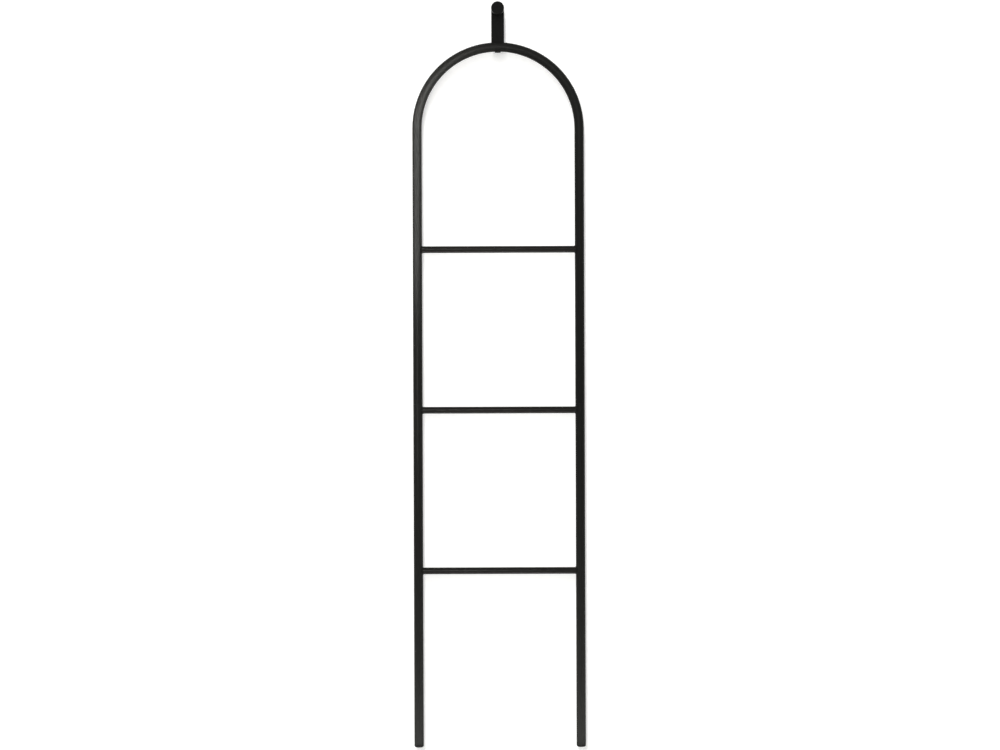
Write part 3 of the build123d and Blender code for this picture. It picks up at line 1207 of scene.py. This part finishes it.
@dataclass
class Studio:
    """White wall, pale floor, lamps and camera."""

    wall_half_width: float = 4.0
    wall_height: float = 2.6
    floor_gap: float = 0.06
    floor_depth: float = 5.0
    wall_colour: Colour = (0.82, 0.82, 0.82)
    wall_glow: float = 0.38
    floor_colour: Colour = (0.80, 0.80, 0.79)
    floor_glow: float = 0.50
    mottle_size: float = 0.4
    mottle_shade: float = 0.985
    sky_light: float = 0.28
    lamp_colour: Colour = (1.0, 0.995, 0.965)
    key_level: float = 3.1
    arch_card_right: float = 0.12
    arch_card_drop: float = 0.17
    floor_card_out: float = 0.24
    floor_card_lift: float = 0.01
    camera_distance: float = 6.0
    camera_drop: float = 0.8528
    camera_right: float = 0.00256
    camera_roll: float = 0.209
    camera_lens: float = 92.63
    camera_sensor: float = 36.0

    def build(self) -> None:
        """Sets the stage."""
        low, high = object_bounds()
        self.wall(low.z - self.floor_gap)
        self.floor(low.z - self.floor_gap)
        self.sky()
        self.lamps(low, high)
        self.camera()
        bpy.context.scene.view_settings.view_transform = "Standard"

    def lamps(self, low: Vector, high: Vector) -> None:
        """Hangs the lamps.

        Args:
            low: the object's lowest corner.
            high: the object's highest corner.
        """
        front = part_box(Rung.MIDDLE.value)[0].y
        key = self.lamp("key_strip", KEY_STRIP, Vector((0.0, front, self.key_level)))
        key.visible_glossy = False
        for number, strip in enumerate(LEFT_STRIPS):
            stile = Vector((low.x + strip.inset, front, high.z - strip.drop))
            self.lamp(f"left_strip_{number}", strip.card(), stile, "arch_tube", "left_leg_tube")
        arch = Vector((self.arch_card_right, front, -self.arch_card_drop))
        self.lamp("arch_card", ARCH_CARD, arch, "arch_tube")
        for rung in Rung:
            axis = middle(rung.value)
            self.lamp(f"{rung.value}_card", RUNG_CARD, axis, rung.value)
            self.lamp(f"{rung.value}_streak", RUNG_STREAK, axis, rung.value)
        self.lamp("peg_glint", PEG_GLINT, middle("hook_peg"), "hook_peg")
        ground = low.z - self.floor_gap + self.floor_card_lift
        overhead = Vector((0.0, -self.floor_card_out, ground)) - Vector(FLOOR_CARD.place)
        self.lamp("floor_card", FLOOR_CARD, overhead, "left_leg_tube", "right_leg_tube")

    def lamp(self, name: str, card: Card, target: Vector, *nodes: str) -> bpy.types.Object:
        """Hangs a lamp and aims it.

        Args:
            name: the lamp's name.
            card: its size, power and place.
            target: what it is aimed at.
            nodes: the only nodes that it lights; without any it lights everything.

        Returns:
            The lamp.
        """
        light = bpy.data.lights.new(name, "AREA")
        light.shape, light.size, light.size_y = "RECTANGLE", card.width, card.height
        light.energy, light.spread = card.power, math.radians(card.spread)
        light.color = self.lamp_colour
        lamp = bpy.data.objects.new(name, light)
        bpy.context.scene.collection.objects.link(lamp)
        offset = Vector(card.place)
        lamp.location = target + offset
        lamp.rotation_euler = (-offset).to_track_quat("-Z", "Y").to_euler()
        lamp.visible_camera = False
        if nodes:
            lit = bpy.data.collections.new(f"{name}_lights")
            for node in nodes:
                lit.objects.link(frame["nodes"][node])
            lamp.light_linking.receiver_collection = lit
        return lamp

    def sky(self) -> None:
        """Lights the room softly all round; straight to the camera it is white."""
        world = bpy.data.worlds.new("studio")
        bpy.context.scene.world = world
        world.use_nodes = True
        graph = Graph(world.node_tree)
        strength = self.sky_light + graph.seen() * (1.0 - self.sky_light)
        sky = graph.node("ShaderNodeBackground", {}, {"Color": WHITE, "Strength": strength})
        graph.node("ShaderNodeOutputWorld", {}, {"Surface": sky.outputs["Background"]})

    def backdrop(
        self, name: str, colour: Colour, glow: float, clear_behind: bool
    ) -> bpy.types.Material:
        """A pale matte surface that is lifted to white for the camera.

        Args:
            name: the material's name.
            colour: its own colour.
            glow: what the camera sees on top of the reflected light.
            clear_behind: whether the camera looks through it from its back.

        Returns:
            The material.
        """
        material = bpy.data.materials.new(name)
        material.use_nodes = True
        graph = Graph(material.node_tree)
        mottle = graph.noise(self.mottle_size, detail=3.0)
        darker = tuple(channel * self.mottle_shade for channel in colour)
        paint = graph.node(
            "ShaderNodeBsdfDiffuse", {}, {"Color": graph.mix(mottle, colour, darker)}
        )
        strength = graph.seen() * glow
        lift = graph.node("ShaderNodeEmission", {}, {"Color": WHITE, "Strength": strength})
        both = graph.node(
            "ShaderNodeAddShader", {}, {0: paint.outputs["BSDF"], 1: lift.outputs["Emission"]}
        )
        surface = both.outputs["Shader"]
        if clear_behind:
            geometry = graph.node("ShaderNodeNewGeometry", {}, {})
            path = graph.node("ShaderNodeLightPath", {}, {})
            camera = Value(graph, path.outputs["Is Camera Ray"])
            behind = Value(graph, geometry.outputs["Backfacing"]) * camera
            clear = graph.node("ShaderNodeBsdfTransparent", {}, {})
            mixed = graph.node(
                "ShaderNodeMixShader", {}, {0: behind, 1: surface, 2: clear.outputs["BSDF"]}
            )
            surface = mixed.outputs["Shader"]
        graph.node("ShaderNodeOutputMaterial", {}, {"Surface": surface})
        return material

    def wall(self, floor_z: float) -> None:
        """Builds the wall, which the camera can see through from behind.

        Args:
            floor_z: the floor's height.
        """
        deselect_all()
        bpy.ops.mesh.primitive_plane_add(size=2.0)
        wall = bpy.context.active_object
        wall.name = "wall"
        wall.scale = (self.wall_half_width, self.wall_height / 2, 1.0)
        wall.rotation_euler = (math.radians(90), 0.0, 0.0)
        wall.location = (0.0, 0.0, floor_z + self.wall_height / 2)
        bpy.ops.object.transform_apply(location=True, rotation=True, scale=True)
        paint = self.backdrop("wall_paint", self.wall_colour, self.wall_glow, clear_behind=True)
        wall.data.materials.append(paint)
        wall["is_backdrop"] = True

    def floor(self, floor_z: float) -> None:
        """Builds the floor, from the wall into the room.

        Args:
            floor_z: its height.
        """
        deselect_all()
        bpy.ops.mesh.primitive_plane_add(size=2.0, location=(0.0, -self.floor_depth / 2, floor_z))
        floor = bpy.context.active_object
        floor.name = "floor"
        floor.scale = (self.wall_half_width, self.floor_depth / 2, 1.0)
        bpy.ops.object.transform_apply(location=True, rotation=True, scale=True)
        paint = self.backdrop("floor_paint", self.floor_colour, self.floor_glow, clear_behind=False)
        floor.data.materials.append(paint)
        floor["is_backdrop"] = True

    def camera(self) -> None:
        """Places the camera square on the rack, turned a hair about its view axis."""
        rack_y = middle(Rung.MIDDLE.value).y
        data = bpy.data.cameras.new("camera")
        data.lens, data.sensor_width = self.camera_lens, self.camera_sensor
        camera = bpy.data.objects.new("camera", data)
        bpy.context.scene.collection.objects.link(camera)
        camera.location = (self.camera_right, rack_y - self.camera_distance, -self.camera_drop)
        camera.rotation_euler = (math.radians(90), math.radians(self.camera_roll), 0.0)
        bpy.context.scene.camera = camera


# ======================================================================================
# Assembly
# ======================================================================================


def clear_start_scene() -> None:
    """Removes the objects of a new file, so that only the frame is left."""
    kept = set(frame["bodies"].values()) | set(frame["nodes"].values())
    for thing in list(bpy.data.objects):
        if thing not in kept:
            bpy.data.objects.remove(thing)


def dress_nodes() -> None:
    """Gives each CAD node the finish of its slot."""
    for entry in frame["record"]["subparts"]:
        dress(entry["node"], FINISHES[Slot(entry["material_slot"])])
        log.info("%s: %s", entry["node"], entry["material_slot"])


def main() -> None:
    """Dresses the frame, models the new pieces, and sets the stage."""
    clear_start_scene()
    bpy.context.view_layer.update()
    dress_nodes()
    for assembly in (WallPlug(), HangerBolt(), CrownScrew(), TubeFrame(), FootMark()):
        log.info("%s", type(assembly).__name__)
        assembly.build()
    Studio().build()


if __name__ == "__main__":
    main()
